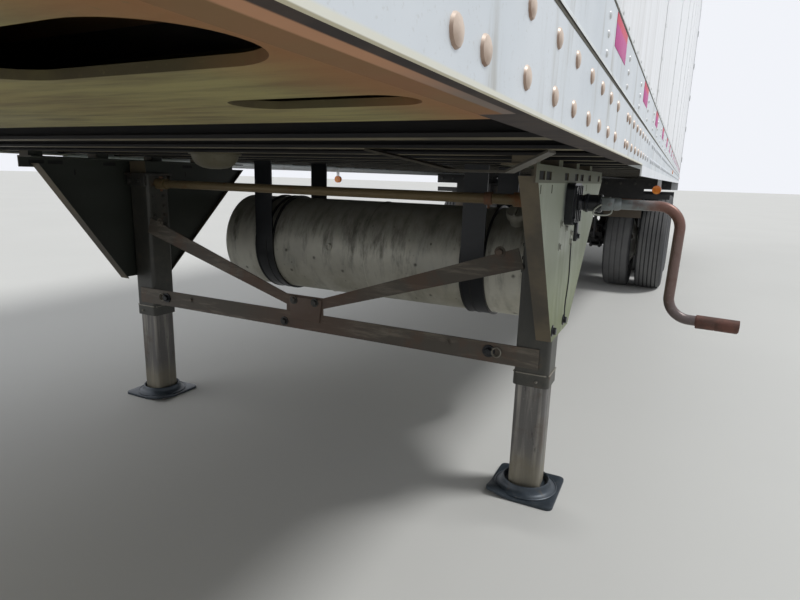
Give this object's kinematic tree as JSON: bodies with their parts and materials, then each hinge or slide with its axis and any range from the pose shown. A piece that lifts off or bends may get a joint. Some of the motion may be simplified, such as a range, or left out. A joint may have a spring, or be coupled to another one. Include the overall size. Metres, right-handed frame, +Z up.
{
  "type": "refrigerated van semi trailer",
  "caption": "Refrigerated van semi trailer standing on its landing gear: insulated body, rear doors, sliding tandem with twin wheels, kingpin coupler and crank-down legs.",
  "frame": {"origin": "on the kingpin's axis, on the underside of the coupler plate", "axes": "+X to the nose, +Y to the trailer's left, +Z up"},
  "size_m": [13.662, 2.9206, 4.0958],
  "materials": {
    "floor_foam": "mill",
    "crossmember_steel": "weathered",
    "mill_aluminium": "weathered mill",
    "white_panel": "gloss",
    "bright_frame": "stainless",
    "plated_steel": "zinc plated",
    "coupler_paint": "weathered primer",
    "worn_steel": "worn",
    "leg_paint": "weathered",
    "foot_paint": "worn",
    "wing_paint": "weathered",
    "shaft_steel": "rusty",
    "greasy_black": "greasy",
    "crank_steel": "worn",
    "tank_aluminium": "stained",
    "chassis_paint": "satin",
    "spring_steel": "dull",
    "flap_rubber": "matt",
    "unit_white": "gloss",
    "red_lens": "clear lens",
    "amber_lens": "clear lens",
    "tyre_rubber": "road worn",
    "wheel_white": "painted"
  },
  "bodies": {
    "trailer": {"floor": "floor_foam", "crossmembers": "crossmember_steel", "bottom_rails": "mill_aluminium", "side_wall_left": "white_panel", "side_wall_right": "white_panel", "rail_bands": "mill_aluminium", "roof": "white_panel", "top_rails": "mill_aluminium", "front_wall": "white_panel", "rear_frame": "bright_frame", "coupler_plate": "coupler_paint", "kingpin": "worn_steel", "leg_tubes": "leg_paint", "leg_rams": "worn_steel", "leg_feet": "foot_paint", "wing_plates": "wing_paint", "leg_rails": "wing_paint", "leg_brace": "leg_paint", "cross_shaft": "shaft_steel", "gearbox": "greasy_black", "fuel_tank": "tank_aluminium", "tank_straps": "greasy_black", "drain_bowl": "coupler_paint", "slider_rails": "chassis_paint", "rear_guard": "chassis_paint", "cooling_unit": "unit_white", "lamps_red": "red_lens", "lamps_amber": "amber_lens", "nose_couplings": "plated_steel", "sag_strap": "coupler_paint", "unit_doors": "unit_white", "unit_grille": "greasy_black"},
    "bogie": {"bogie_frame": "chassis_paint", "spring_hangers": "chassis_paint", "leaf_springs": "spring_steel", "axles": "chassis_paint", "brake_chambers": "chassis_paint", "flap_bars": "chassis_paint", "mud_flaps": "flap_rubber", "air_tank": "chassis_paint"},
    "door_left": {"rear_door_left": "white_panel", "door_gear_left": "plated_steel"},
    "door_right": {"rear_door_right": "white_panel", "door_gear_right": "plated_steel"},
    "crank": {"crank": "crank_steel"},
    "wheels_front_left": {"tyres_front_left": "tyre_rubber", "wheels_front_left": "wheel_white"},
    "wheels_front_right": {"tyres_front_right": "tyre_rubber", "wheels_front_right": "wheel_white"},
    "wheels_rear_left": {"tyres_rear_left": "tyre_rubber", "wheels_rear_left": "wheel_white"},
    "wheels_rear_right": {"tyres_rear_right": "tyre_rubber", "wheels_rear_right": "wheel_white"}
  },
  "joints": [
    {"name": "bogie_slide", "type": "slide", "parent": "trailer", "child": "bogie", "axis": [-1, 0, 0], "range_m": [0, 1.83]},
    {"name": "door_left_swing", "type": "hinge", "parent": "trailer", "child": "door_left", "pos_m": [-12.25, 1.29, 1.42], "axis": [0, 0, -1], "range_deg": [0, 270]},
    {"name": "door_right_swing", "type": "hinge", "parent": "trailer", "child": "door_right", "pos_m": [-12.25, -1.29, 1.42], "axis": [0, 0, 1], "range_deg": [0, 270]},
    {"name": "crank_turn", "type": "hinge", "parent": "trailer", "child": "crank", "pos_m": [-2.6535, 1.2, -0.136], "axis": [0, 1, 0], "continuous": true},
    {"name": "wheels_front_left_spin", "type": "hinge", "parent": "bogie", "child": "wheels_front_left", "pos_m": [-7.7, 0.9825, -0.721], "axis": [0, 1, 0], "continuous": true},
    {"name": "wheels_front_right_spin", "type": "hinge", "parent": "bogie", "child": "wheels_front_right", "pos_m": [-7.7, -0.9825, -0.721], "axis": [0, 1, 0], "continuous": true},
    {"name": "wheels_rear_left_spin", "type": "hinge", "parent": "bogie", "child": "wheels_rear_left", "pos_m": [-8.945, 0.9825, -0.721], "axis": [0, 1, 0], "continuous": true},
    {"name": "wheels_rear_right_spin", "type": "hinge", "parent": "bogie", "child": "wheels_rear_right", "pos_m": [-8.945, -0.9825, -0.721], "axis": [0, 1, 0], "continuous": true}
  ]
}
